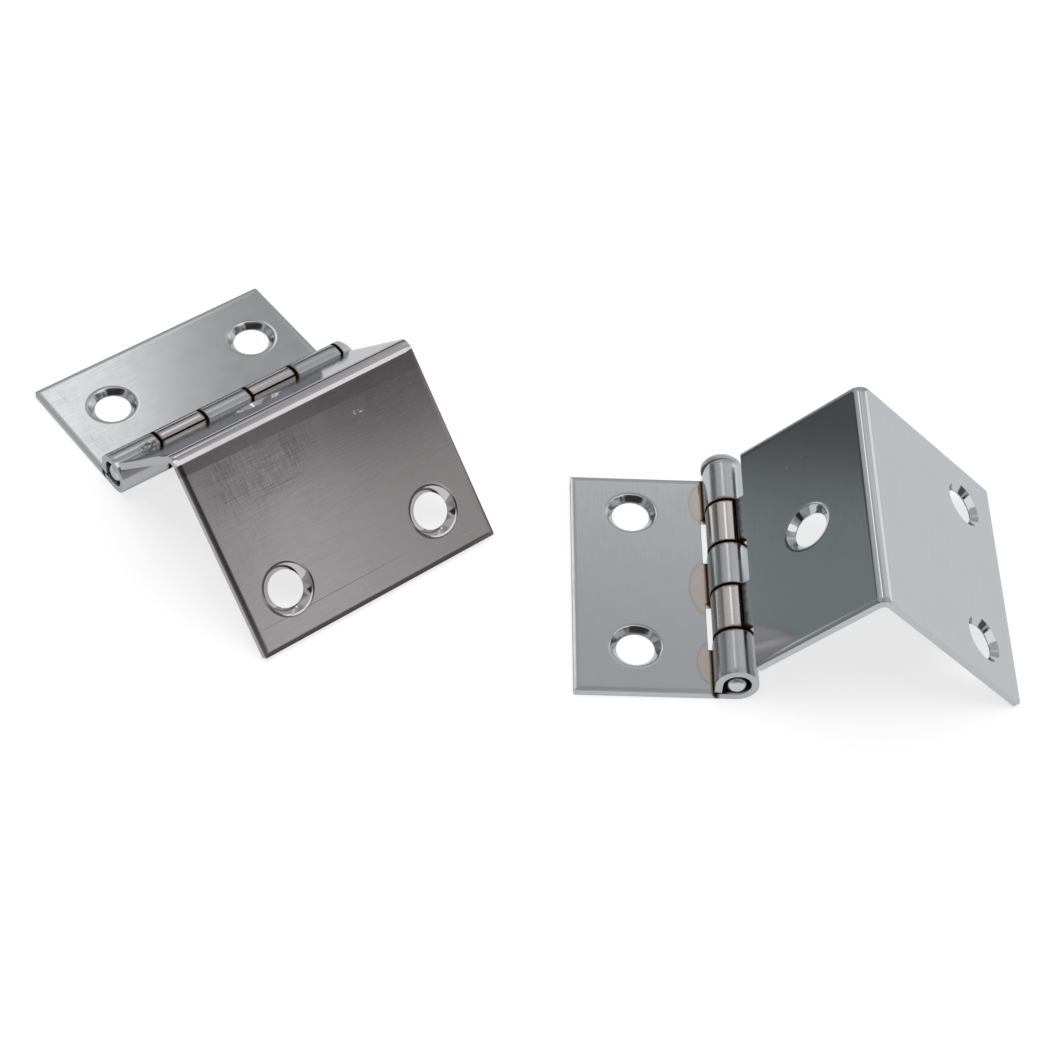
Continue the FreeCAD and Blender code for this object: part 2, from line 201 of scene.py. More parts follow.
def merged_copy(node, name):
    """A piece of its own with the solid's shape, its loose triangles joined."""
    make_active(frame["nodes"][node])
    bpy.ops.object.duplicate()
    piece = bpy.context.object
    bpy.ops.object.parent_clear(type="CLEAR_KEEP_TRANSFORM")
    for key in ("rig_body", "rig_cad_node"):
        if key in piece:
            del piece[key]
    piece.name = name
    piece.data.name = name
    piece.data.materials.clear()
    bpy.ops.object.mode_set(mode="EDIT")
    bpy.ops.mesh.select_all(action="SELECT")
    bpy.ops.mesh.remove_doubles(threshold=LEAF_MERGE)
    bpy.ops.mesh.dissolve_limited(angle_limit=math.radians(FLAT_WITHIN))
    bpy.ops.object.mode_set(mode="OBJECT")
    return piece


def own_frame(side, tilted=False):
    """The hinge's own frame, with the middle of the barrel's plain end as its origin."""
    lift = Vector((0, 0, bpy.context.scene.hinge_barrel.radius))
    turn = Matrix.Rotation(math.radians(HINGES[side]["turn"]), 4, "Z")
    tilt = Matrix.Rotation(math.radians(TENT_TILT if tilted else 0.0), 4, "Y")
    return Matrix.Translation(hinge_place(side) + lift) @ turn @ tilt


def deepen_notches(piece, side, direction, extra, tilted=False):
    """Move the bottoms of the notches away from the barrel: direction is their side of it."""
    barrel = bpy.context.scene.hinge_barrel
    to_world = own_frame(side, tilted)
    to_own = to_world.inverted()
    moved = 0
    for vertex in piece.data.vertices:
        own = to_own @ vertex.co
        if abs(own.x * direction - barrel.notch_reach) < NOTCH_TOLERANCE:
            own.x += direction * extra
            vertex.co = to_world @ own
            moved += 1
    if not moved:
        raise RuntimeError(f"{piece.name} has no notches to deepen")


def soften_edges(piece, width, segments):
    """Break every sheared edge, then shade the curls and folds smooth."""
    make_active(piece)
    bevel = piece.modifiers.new("edge_break", "BEVEL")
    bevel.width = width
    bevel.segments = segments
    bevel.limit_method = "ANGLE"
    bevel.angle_limit = math.radians(BREAK_EDGES_OVER)
    bevel.miter_outer = "MITER_ARC"
    bpy.ops.object.modifier_apply(modifier=bevel.name)
    bpy.ops.object.shade_smooth_by_angle(angle=math.radians(LEAF_SMOOTH_UP_TO))
    flatten = piece.modifiers.new("flat_faces", "WEIGHTED_NORMAL")
    flatten.mode = "FACE_AREA"
    flatten.weight = 50
    flatten.keep_sharp = True
    bpy.ops.object.modifier_apply(modifier=flatten.name)


def hinge_place(side):
    return Vector((HINGES[side]["place"][0] * MM, HINGES[side]["place"][1] * MM, 0))


# Material helpers.


class Wires:
    """Shorthand for the nodes of one material or world."""

    def __init__(self, tree):
        self.tree = tree
        self.tree.nodes.clear()

    def node(self, kind, **settings):
        made = self.tree.nodes.new(kind)
        for key, value in settings.items():
            setattr(made, key, value)
        return made

    def join(self, source, target):
        self.tree.links.new(source, target)

    def feed(self, socket, value):
        if isinstance(value, bpy.types.NodeSocket):
            self.join(value, socket)
        else:
            socket.default_value = value

    def math(self, operation, first, second=0.0, third=0.0):
        made = self.node("ShaderNodeMath", operation=operation)
        for index, value in enumerate((first, second, third)):
            self.feed(made.inputs[index], value)
        return made.outputs[0]

    def length(self, first, second):
        """Length of a flat vector."""
        squares = [self.math("MULTIPLY", part, part) for part in (first, second)]
        return self.math("SQRT", self.math("ADD", *squares))

    def ramp(self, value, low, high, start=0.0, end=1.0, smooth=True):
        """Value between two levels, mapped to start..end and held outside them."""
        kind = "SMOOTHSTEP" if smooth else "LINEAR"
        made = self.node("ShaderNodeMapRange", interpolation_type=kind)
        made.clamp = True
        self.feed(made.inputs["Value"], value)
        for key, level in (("From Min", low), ("From Max", high), ("To Min", start), ("To Max", end)):
            self.feed(made.inputs[key], level)
        return made.outputs["Result"]

    def mix(self, factor, first, second):
        made = self.node("ShaderNodeMix", data_type="RGBA", blend_type="MIX")
        self.feed(made.inputs["Factor"], factor)
        self.feed(made.inputs["A"], first if isinstance(first, bpy.types.NodeSocket) else (*first, 1))
        self.feed(made.inputs["B"], second if isinstance(second, bpy.types.NodeSocket) else (*second, 1))
        return next(socket for socket in made.outputs if socket.type == "RGBA")

    def rolled(self, distance, width, depth):
        """Height of a surface that curves down towards an edge, zero from width inwards."""
        share = self.ramp(distance, 0.0, width, 1.0, 0.0, smooth=False)
        return self.math("MULTIPLY", self.math("MULTIPLY", share, share), -depth)

    def stretched(self, vector, scale):
        made = self.node("ShaderNodeMapping")
        self.join(vector, made.inputs["Vector"])
        made.inputs["Scale"].default_value = scale
        return made.outputs["Vector"]

    def noise(self, vector, scale, detail=2.0, rough=0.5):
        made = self.node("ShaderNodeTexNoise")
        self.join(vector, made.inputs["Vector"])
        made.inputs["Scale"].default_value = scale
        made.inputs["Detail"].default_value = detail
        made.inputs["Roughness"].default_value = rough
        return made.outputs["Fac"]

    def parts(self, vector):
        made = self.node("ShaderNodeSeparateXYZ")
        self.join(vector, made.inputs[0])
        return made.outputs["X"], made.outputs["Y"], made.outputs["Z"]

    def own_millimetres(self, side, tilted=False):
        """Position on the piece in its hinge's own frame, in millimetres from the barrel's axis."""
        where = self.node("ShaderNodeTexCoord").outputs["Object"]
        made = self.node("ShaderNodeMapping", vector_type="TEXTURE")
        self.join(where, made.inputs["Vector"])
        radius = bpy.context.scene.hinge_barrel.radius
        place = hinge_place(side)
        made.inputs["Location"].default_value = (place.x, place.y, radius)
        tilt = math.radians(TENT_TILT) if tilted else 0.0
        made.inputs["Rotation"].default_value = (0, tilt, math.radians(HINGES[side]["turn"]))
        made.inputs["Scale"].default_value = (MM, MM, MM)
        return made.outputs["Vector"]


# Where the leaves end, and their countersunk holes, in the leaves' own axes and millimetres.
FAR_EDGE = {"flat": ("x", -21.6), "wrap": ("z", -28.5)}
HOLES = {
    "flat": [("xy", (-13.1, 7.85)), ("xy", (-13.1, 31.65))],
    "wrap": [("xy", (14.3, 18.65)), ("yz", (7.05, -21.5)), ("yz", (31.05, -21.5))],
}
COUNTERSINK_RADIUS = 3.45
# The roll round a countersunk hole: how far out it reaches, and how deep it is drawn down.
RIM_ROLL = (0.5, 0.05)
KNUCKLES = 5
# Where the brown line at the ends of a wrap leaf's curls lies, in degrees round the barrel.
CURL_LINE_ANGLE = 30.0
# Level of the flat leaves' and of the wrap leaves' front, in their own frames.
FLAT_FRONT = -1.9
WRAP_FRONT = 1.4
# Where the flat leaves' knuckles leave the sheet.
NECK_SEAM = -2.75
# Colours of the marks and of the painted shade.
# Painted shade: the seams between the knuckles, the flat leaves' necks, the gaps under the pins' heads
# and the sheet beside the curls' ends.
SEAM_SHADE_BLACK = (0.012, 0.008, 0.006)
# Grey of the polishing lines, scratch and crackle, and of the painted shade on the strip beside the left
# fold.
DULL_AND_SHADE_GREY = (0.02, 0.02, 0.02)
SCUFF_WHITE = (0.9, 0.9, 0.9)
PIN_HEAD_TINT = (0.74, 0.75, 0.76)
# How strongly the polishing lines show everywhere, and how much more in the hatched patch.
BRUSHED = 0.05
HATCHED = 0.27
# How brown the edge of each hinge's curls is.
CURL_LINE = {"right": 1.0, "left": 0.35}
# How far from the barrel's axis the painted shade beside the curls' ends reaches.
CURL_SHADOW = {("right", "wrap"): 3.6}
# How dark the painted shade in the seam under each pin's head is.
HEAD_SEAM_SHADE = {"right": 0.1, "left": 0.95}
# How dark the painted shade on the strip beside the fold is at its near and far ends.
FOLD_SHADE = {("left", "wrap"): (0.42, 0.16)}

# Marks of plating and use, each an oval on its leaf: the two axes that it lies in, its middle
# and its half sizes, in the leaf's own millimetres.
MARKS = {
    ("right", "flat"): [
        ("stain", "xy", (-2.9, 33.6), (2.0, 3.7)),
        ("stain", "xy", (-2.9, 18.2), (2.6, 4.9)),
        ("stain", "xy", (-3.0, 5.2), (2.0, 3.6)),
    ],
    ("left", "flat"): [("crackle", "xy", (0.7, 5.7), (1.0, 2.0))],
    ("left", "wrap"): [
        ("scuff", "yz", (27.0, -4.5), (0.9, 0.6)),
        ("light scratch", "yz", (34.6, -26.6), (1.8, 0.05)),
        ("dark scratch", "yz", (12.0, -24.9), (16.0, 0.09)),
        ("hatch", "yz", (10.5, -4.8), (12.0, 7.5)),
    ],
}


class Plating(Wires):
    """The bright plated steel of one piece, worked out in its hinge's own millimetres."""

    def __init__(self, side, leaf):
        self.material = bpy.data.materials.new(f"{side}_{leaf}_plating")
        self.material.use_nodes = True
        super().__init__(self.material.node_tree)
        self.side = side
        self.leaf = leaf
        self.settings = bpy.context.scene.hinge_plating
        barrel = bpy.context.scene.hinge_barrel
        self.barrel_length = barrel.length / MM
        self.barrel_radius = barrel.radius / MM
        self.own = self.own_millimetres(side, leaf == "wrap")
        self.x, self.y, self.z = self.parts(self.own)
        self.place = {"x": self.x, "y": self.y, "z": self.z}
        self.radial = self.length(self.x, self.z)
        self.marks = self.find_marks()
        self.hatch = self.marked("hatch", 0.4)
        self.blotch = self.math("MULTIPLY", self.ramp(self.noise(self.own, 1.3, 3.0), 0.3, 0.7), 0.5)

    def within(self, first, last):
        """1 near the barrel's axis, 0 away from it: both measured outwards from the knuckles."""
        start, end = self.barrel_radius + first, self.barrel_radius + last
        return self.ramp(self.radial, start, end, 1.0, 0.0)

    def find_marks(self):
        """A map for each kind of mark: 0 in the middle of its ovals, 1 at their outlines."""
        marks = {}
        for kind, axes, middle, half in MARKS.get((self.side, self.leaf), []):
            off = [
                self.math("DIVIDE", self.math("SUBTRACT", self.place[axis], start), size)
                for axis, start, size in zip(axes, middle, half)
            ]
            oval = self.length(*off)
            marks[kind] = self.math("MINIMUM", marks[kind], oval) if kind in marks else oval
        return marks

    def marked(self, kind, fade=0.7):
        """1 inside the marks of a kind, 0 outside: fade is where they begin to thin out."""
        return self.ramp(self.marks[kind], fade, 1.0, 1.0, 0.0) if kind in self.marks else 0.0

    def edge_roll(self):
        """How shearing and countersinking draw the sheet's front down, and where it was sheared."""
        settings = self.settings
        from_end = self.math("SUBTRACT", self.barrel_length, self.y)
        from_edge = self.math("MINIMUM", self.y, from_end)
        if self.leaf in FAR_EDGE:
            axis, far = FAR_EDGE[self.leaf]
            from_edge = self.math("MINIMUM", from_edge, self.math("SUBTRACT", self.place[axis], far))
        roll = self.rolled(from_edge, settings.roll_width / MM, settings.roll_depth / MM)
        for axes, middle in HOLES.get(self.leaf, []):
            off = [self.math("SUBTRACT", self.place[axis], start) for axis, start in zip(axes, middle)]
            from_rim = self.math("SUBTRACT", self.length(*off), COUNTERSINK_RADIUS)
            roll = self.math("ADD", roll, self.rolled(from_rim, *RIM_ROLL))
        return roll, self.ramp(from_edge, 0.01, 0.05, 1.0, 0.0)

    def fine_lines(self, stretch):
        return self.ramp(self.noise(self.stretched(self.own, stretch), 9.0, 4.0, 0.65), 0.4, 0.75)

    def polish(self):
        """Fine lines along the barrel, and across it in patches, and a broad haze."""
        along = self.fine_lines((1.0, 0.03, 1.0))
        across = self.fine_lines((0.04, 1.0, 0.04))
        patches = self.ramp(self.noise(self.own, 0.12, 2.0), 0.45, 0.65)
        lines = self.math("MULTIPLY_ADD", across, self.math("ADD", patches, self.hatch), along)
        return lines, self.noise(self.own, 0.35, 4.0, 0.6)

    def scuffs(self):
        """Light marks: flecks in the scuff, a scratch, and a few specks anywhere."""
        dots = self.node("ShaderNodeTexVoronoi", feature="F1")
        self.join(self.own, dots.inputs["Vector"])
        dots.inputs["Scale"].default_value = 0.4
        chosen = self.node("ShaderNodeSeparateColor")
        self.join(dots.outputs["Color"], chosen.inputs[0])
        few = self.ramp(chosen.outputs[0], 0.7, 0.72)
        specks = self.math("MULTIPLY", self.ramp(dots.outputs["Distance"], 0.02, 0.045, 1.0, 0.0), few)
        grain = self.noise(self.stretched(self.own, (1.0, 0.5, 1.0)), 3.4, 3.0, 0.6)
        scuffed = self.math("MULTIPLY", self.marked("scuff"), self.ramp(grain, 0.58, 0.63))
        scratch = self.math("MULTIPLY", self.marked("light scratch", 0.5), 0.4)
        scuffed = self.math("MAXIMUM", scuffed, scratch)
        return self.math("MAXIMUM", scuffed, self.math("MULTIPLY", specks, 0.7))

    def tarnish(self):
        """Dark painted shade in the seams and at the curls' ends; brown, blotchy tarnish beside them."""
        pitch = self.barrel_length / KNUCKLES
        step = self.math("FRACT", self.math("ADD", self.math("DIVIDE", self.y, pitch), 0.5))
        to_seam = self.math("MULTIPLY", self.math("ABSOLUTE", self.math("SUBTRACT", step, 0.5)), pitch)
        last = self.barrel_length - 3.0
        before_last = self.ramp(self.y, last - 1.0, last, 1.0, 0.0)
        inner = self.math("MULTIPLY", self.ramp(self.y, 3.0, 4.0), before_last)
        # Painted shade in the seams between the knuckles.
        painted_shade = self.math("MULTIPLY", self.ramp(to_seam, 0.2, 0.36, 1.0, 0.0), inner)
        reach = self.math("ADD", self.blotch, 0.4)
        brown = self.math("MULTIPLY", self.ramp(to_seam, 0.2, reach, 1.0, 0.0), inner)
        if self.leaf == "wrap":
            brown = self.math("MAXIMUM", brown, self.curl_line())
        elif self.leaf == "flat":
            # Painted shade in the crease where the knuckles leave the sheet, with brown rust beside it.
            beside = self.math("ABSOLUTE", self.math("SUBTRACT", self.x, NECK_SEAM))
            low = self.ramp(self.z, FLAT_FRONT + 0.2, FLAT_FRONT + 0.6, 1.0, 0.0)
            seam = self.math("MULTIPLY", self.ramp(beside, 0.2, 0.4, 1.0, 0.0), low)
            rust = self.math("MULTIPLY", self.ramp(beside, 0.3, 0.8, 1.0, 0.0), low)
            painted_shade = self.math("MAXIMUM", painted_shade, seam)
            brown = self.math("MAXIMUM", brown, rust)
        near = self.within(0.7, 1.1)
        painted_shade = self.math("MULTIPLY", painted_shade, near)
        brown = self.math("MULTIPLY", brown, near)
        # Painted shade on the sheet beside the curls' ends.
        if (self.side, self.leaf) in CURL_SHADOW:
            painted_shade = self.math("MAXIMUM", painted_shade, self.curl_shadow(pitch))
        return painted_shade, brown

    def curl_line(self):
        """Brown along the ends of the wrap leaf's curls."""
        round_it = self.math("MULTIPLY", self.math("ARCTAN2", self.z, self.x), math.degrees(1))
        off = self.math("ABSOLUTE", self.math("SUBTRACT", round_it, CURL_LINE_ANGLE))
        line = self.ramp(off, 2.5, 6.0, CURL_LINE[self.side], 0.0)
        return self.math("MULTIPLY", line, self.within(0.1, 0.2))

    def curl_shadow(self, pitch):
        """Painted shade on the front of the sheet beside the curls' ends."""
        reach = self.math("MULTIPLY_ADD", self.blotch, 0.5, CURL_SHADOW[self.side, self.leaf])
        band = self.ramp(self.math("SUBTRACT", self.x, reach), -0.7, 0.3, 1.0, 0.0)
        off_front = self.math("ABSOLUTE", self.math("SUBTRACT", self.z, WRAP_FRONT))
        front = self.ramp(off_front, 0.1, 0.3, 1.0, 0.0)
        beside = self.ramp(self.math("FRACT", self.math("DIVIDE", self.y, 2 * pitch)), 0.5, 0.51)
        band = self.math("MULTIPLY", self.math("MULTIPLY", band, front), beside)
        return self.math("MULTIPLY", band, self.ramp(self.x, 1.6, 2.0))

    def stained(self, colour):
        """Tan ovals with a thin darker ring, on the front of the sheet."""
        stain = self.marks["stain"]
        front = self.ramp(self.z, FLAT_FRONT + 0.2, FLAT_FRONT + 0.4, 1.0, 0.0)
        off_ring = self.math("ABSOLUTE", self.math("SUBTRACT", stain, 0.96))
        ring = self.ramp(off_ring, 0.0, 0.12, 0.22, 0.0)
        fill = self.math("MULTIPLY", self.ramp(stain, 0.2, 1.0, 0.6, 0.3), self.marked("stain", 0.92))
        colour = self.mix(self.math("MULTIPLY", fill, front), colour, self.settings.stain_tint)
        return self.mix(self.math("MULTIPLY", ring, front), colour, self.settings.tarnish_tint)

    def dullness_and_fold_shade(self, lines):
        """Dark marks: the polishing lines, a scratch and the crackle, and painted shade on the strip
        beside the fold.
        """
        dull_and_shaded = self.math("MULTIPLY", lines, self.math("MULTIPLY_ADD", self.hatch, HATCHED, BRUSHED))
        if "dark scratch" in self.marks:
            scratch = self.math("MULTIPLY", self.marked("dark scratch", 0.5), 0.35)
            dull_and_shaded = self.math("MAXIMUM", dull_and_shaded, scratch)
        if (self.side, self.leaf) in FOLD_SHADE:
            # Painted shade on a strip beside the fold, a little wider towards the far end.
            strip = self.ramp(self.math("MULTIPLY_ADD", self.y, 0.023, self.z), -2.05, -1.85)
            strip = self.math("MULTIPLY", strip, self.ramp(self.z, -0.5, -0.3, 1.0, 0.0))
            level = self.ramp(self.y, 4.0, 34.0, *FOLD_SHADE[self.side, self.leaf])
            dull_and_shaded = self.math("MAXIMUM", dull_and_shaded, self.math("MULTIPLY", strip, level))
        if "crackle" in self.marks:
            cracks = self.node("ShaderNodeTexVoronoi", feature="DISTANCE_TO_EDGE")
            self.join(self.stretched(self.own, (1.0, 0.6, 1.0)), cracks.inputs["Vector"])
            cracks.inputs["Scale"].default_value = 2.4
            thin = self.ramp(cracks.outputs["Distance"], 0.06, 0.14, 1.0, 0.0)
            thin = self.math("MULTIPLY", thin, self.marked("crackle"))
            dull_and_shaded = self.math("MAXIMUM", dull_and_shaded, self.math("MULTIPLY", thin, 0.7))
        return dull_and_shaded

    def bumps(self, roll, lines, haze):
        """Normal of the rolled edges, with the polish on top."""
        bend = self.node("ShaderNodeBump")
        bend.inputs["Strength"].default_value = 1.0
        bend.inputs["Distance"].default_value = MM
        self.join(roll, bend.inputs["Height"])
        bump = self.node("ShaderNodeBump")
        bump.inputs["Strength"].default_value = 0.35
        bump.inputs["Distance"].default_value = 0.004 * MM
        height = self.math("MULTIPLY_ADD", lines, -0.3, self.math("MULTIPLY", haze, 0.6))
        self.join(height, bump.inputs["Height"])
        self.join(bend.outputs["Normal"], bump.inputs["Normal"])
        return bump.outputs["Normal"]


def plating_material(side, leaf, tint, rough=0.12, spread=1.0):
    """Bright plated steel: rolled edges, polishing lines, marks, and tarnish and painted shade in the
    barrel's seams.
    """
    p = Plating(side, leaf)
    on_barrel = p.within(0.05, 0.35)
    roll, sheared = p.edge_roll()
    lines, haze = p.polish()
    scuffed = p.scuffs()
    painted_shade, brown = p.tarnish()

    colour = p.mix(on_barrel, tint, p.settings.warm_tint) if leaf == "wrap" else tint
    if "stain" in p.marks:
        colour = p.stained(colour)
    # Darker along the polishing lines and marks, and painted shade on the strip beside the fold.
    colour = p.mix(p.dullness_and_fold_shade(lines), colour, DULL_AND_SHADE_GREY)
    colour = p.mix(p.math("MULTIPLY", brown, 0.75), colour, p.settings.tarnish_tint)
    # Painted shade in the seams, at the flat leaves' necks and beside the curls' ends.
    colour = p.mix(p.math("MULTIPLY", painted_shade, 0.9), colour, SEAM_SHADE_BLACK)
    colour = p.mix(scuffed, colour, SCUFF_WHITE)

    roughness = p.math("MULTIPLY_ADD", haze, 0.08 * spread, rough - 0.04 * spread)
    roughness = p.math("MULTIPLY_ADD", lines, 0.06 * spread, roughness)
    if leaf == "pin":
        # Painted shade in the gap under the pin's head.
        off_seam = p.math("ABSOLUTE", p.math("SUBTRACT", p.y, p.barrel_length + 0.2))
        colour = p.mix(p.ramp(off_seam, 0.2, 0.34, HEAD_SEAM_SHADE[side], 0.0), colour, SEAM_SHADE_BLACK)
        on_head = p.ramp(p.y, p.barrel_length + 0.5, p.barrel_length + 0.6)
        roughness = p.math("MULTIPLY_ADD", on_head, 0.2, roughness)
        colour = p.mix(on_head, colour, PIN_HEAD_TINT)
    roughness = p.math("MULTIPLY_ADD", on_barrel, 0.08, roughness)
    roughness = p.math("MULTIPLY_ADD", sheared, 0.25, roughness)
    roughness = p.math("MULTIPLY_ADD", p.math("MAXIMUM", brown, scuffed), 0.4, roughness)

    shader = p.node("ShaderNodeBsdfPrincipled")
    shader.inputs["Metallic"].default_value = 1.0
    grazing = p.settings.left_grazing_tint if side == "left" else p.settings.right_grazing_tint
    shader.inputs["Specular Tint"].default_value = (*grazing, 1)
    p.join(colour, shader.inputs["Base Color"])
    p.join(roughness, shader.inputs["Roughness"])
    p.join(p.bumps(roll, lines, haze), shader.inputs["Normal"])
    out = p.node("ShaderNodeOutputMaterial")
    p.join(shader.outputs["BSDF"], out.inputs["Surface"])
    return p.material


# The pieces.


class HINGES_OT_flat_leaves(bpy.types.Operator):
    """Make both flat leaves, with their edges softened"""
    bl_idname = "hinges.flat_leaves"
    bl_label = "Flat leaves"

    def execute(self, context):
        plating = context.scene.hinge_plating
        for side in HINGES:
            node = f"{side}_flat_leaf"
            leaf = merged_copy(node, f"{side}_flat_leaf_plated")
            deepen_notches(leaf, side, -1, context.scene.hinge_barrel.flat_notch_extra)
            soften_edges(leaf, plating.edge_break, plating.edge_segments)
            material = plating_material(side, "flat", plating.sheet_tint)
            leaf.data.materials.append(material)
            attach(leaf, "frame_side")
            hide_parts(node)
        return {"FINISHED"}


class HINGES_OT_wrap_leaves(bpy.types.Operator):
    """Make both leaves that wrap round the door, with their edges softened"""
    bl_idname = "hinges.wrap_leaves"
    bl_label = "Wrap leaves"

    def execute(self, context):
        plating = context.scene.hinge_plating
        for side in HINGES:
            node = f"{side}_wrap_leaf"
            leaf = merged_copy(node, f"{side}_wrap_leaf_plated")
            deepen_notches(leaf, side, 1, context.scene.hinge_barrel.wrap_notch_extra, tilted=True)
            soften_edges(leaf, plating.edge_break, plating.edge_segments)
            tint = plating.rubbed_tint if side == "left" else plating.sheet_tint
            material = plating_material(side, "wrap", tint, rough=0.065, spread=0.5)
            leaf.data.materials.append(material)
            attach(leaf, BODY_OF_LEAF[side])
            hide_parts(node)
        return {"FINISHED"}


class HINGES_OT_pins(bpy.types.Operator):
    """Turn both pins: a plain shank and a domed head as wide as the barrel"""
    bl_idname = "hinges.pins"
    bl_label = "Pins"

    def outline(self, barrel, head_gap, head_rim):
        """Half section of the pin, from the middle of its plain end to the top of its dome."""
        shank, head, length = barrel.pin_radius, barrel.radius, barrel.length + head_gap
        end = barrel.pin_recess
        points = [
            (0.0, end - PIN_CROWN),
            (0.45 * shank, end),
            (shank - PIN_CHAMFER, end),
            (shank - 0.08 * MM, end + 0.6 * PIN_CHAMFER),
            (shank, end + PIN_CHAMFER + 0.1 * MM),
        ]
        points += [(shank, length * share) for share in (0.2, 0.4, 0.6, 0.8, 1.0)]
        points += [(head - HEAD_EASE, length), (head, length + HEAD_EASE), (head, length + head_rim)]
        dome = barrel.head_dome
        ball = (head ** 2 + dome ** 2) / (2 * dome)
        centre = length + head_rim + dome - ball
        start = math.asin(head / ball)
        for step in range(1, DOME_STEPS + 1):
            angle = start * (1 - step / DOME_STEPS)
            points.append((ball * math.sin(angle), centre + ball * math.cos(angle)))
        return points

    def execute(self, context):
        scene = context.scene
        barrel, plating = scene.hinge_barrel, scene.hinge_plating
        for side in HINGES:
            hinge = HINGES[side]
            points = self.outline(barrel, hinge["head_gap"] * MM, hinge["head_rim"] * MM)
            deselect_all()
            bpy.ops.mesh.primitive_plane_add(size=MM, location=(0, 0, 0))
            pin = context.object
            pin.name = pin.data.name = f"{side}_pin_turned"
            bpy.ops.object.mode_set(mode="EDIT")
            bpy.ops.mesh.select_all(action="SELECT")
            bpy.ops.mesh.merge(type="CENTER")
            bpy.ops.transform.translate(value=(points[0][0], points[0][1], 0))
            for (x1, y1), (x2, y2) in zip(points, points[1:]):
                move = {"value": (x2 - x1, y2 - y1, 0)}
                bpy.ops.mesh.extrude_region_move(TRANSFORM_OT_translate=move)
            bpy.ops.mesh.select_all(action="SELECT")
            bpy.ops.mesh.spin(steps=SPIN_STEPS, angle=math.tau, center=(0, 0, 0), axis=(0, 1, 0))
            bpy.ops.mesh.select_all(action="SELECT")
            bpy.ops.mesh.remove_doubles(threshold=PIN_MERGE)
            bpy.ops.mesh.normals_make_consistent(inside=False)
            bpy.ops.object.mode_set(mode="OBJECT")
            turn = math.radians(hinge["turn"])
            (side_on, up), (head_side_on, head_up) = hinge["plain_end"], hinge["head_end"]
            rise = math.asin((head_up - up) * MM / barrel.length)
            veer = math.asin((side_on - head_side_on) * MM / barrel.length)
            pin.rotation_euler = (rise, 0, turn + veer)
            pin.location = own_frame(side) @ (Vector((side_on, 0, up)) * MM)
            make_active(pin)
            bpy.ops.object.transform_apply(location=True, rotation=True, scale=True)
            bpy.ops.object.shade_smooth_by_angle(angle=math.radians(PIN_SMOOTH_UP_TO))
            material = plating_material(side, "pin", plating.pin_tint, rough=0.2)
            pin.data.materials.append(material)
            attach(pin, "frame_side")
            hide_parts(f"{side}_pin")
        return {"FINISHED"}


# The stage.

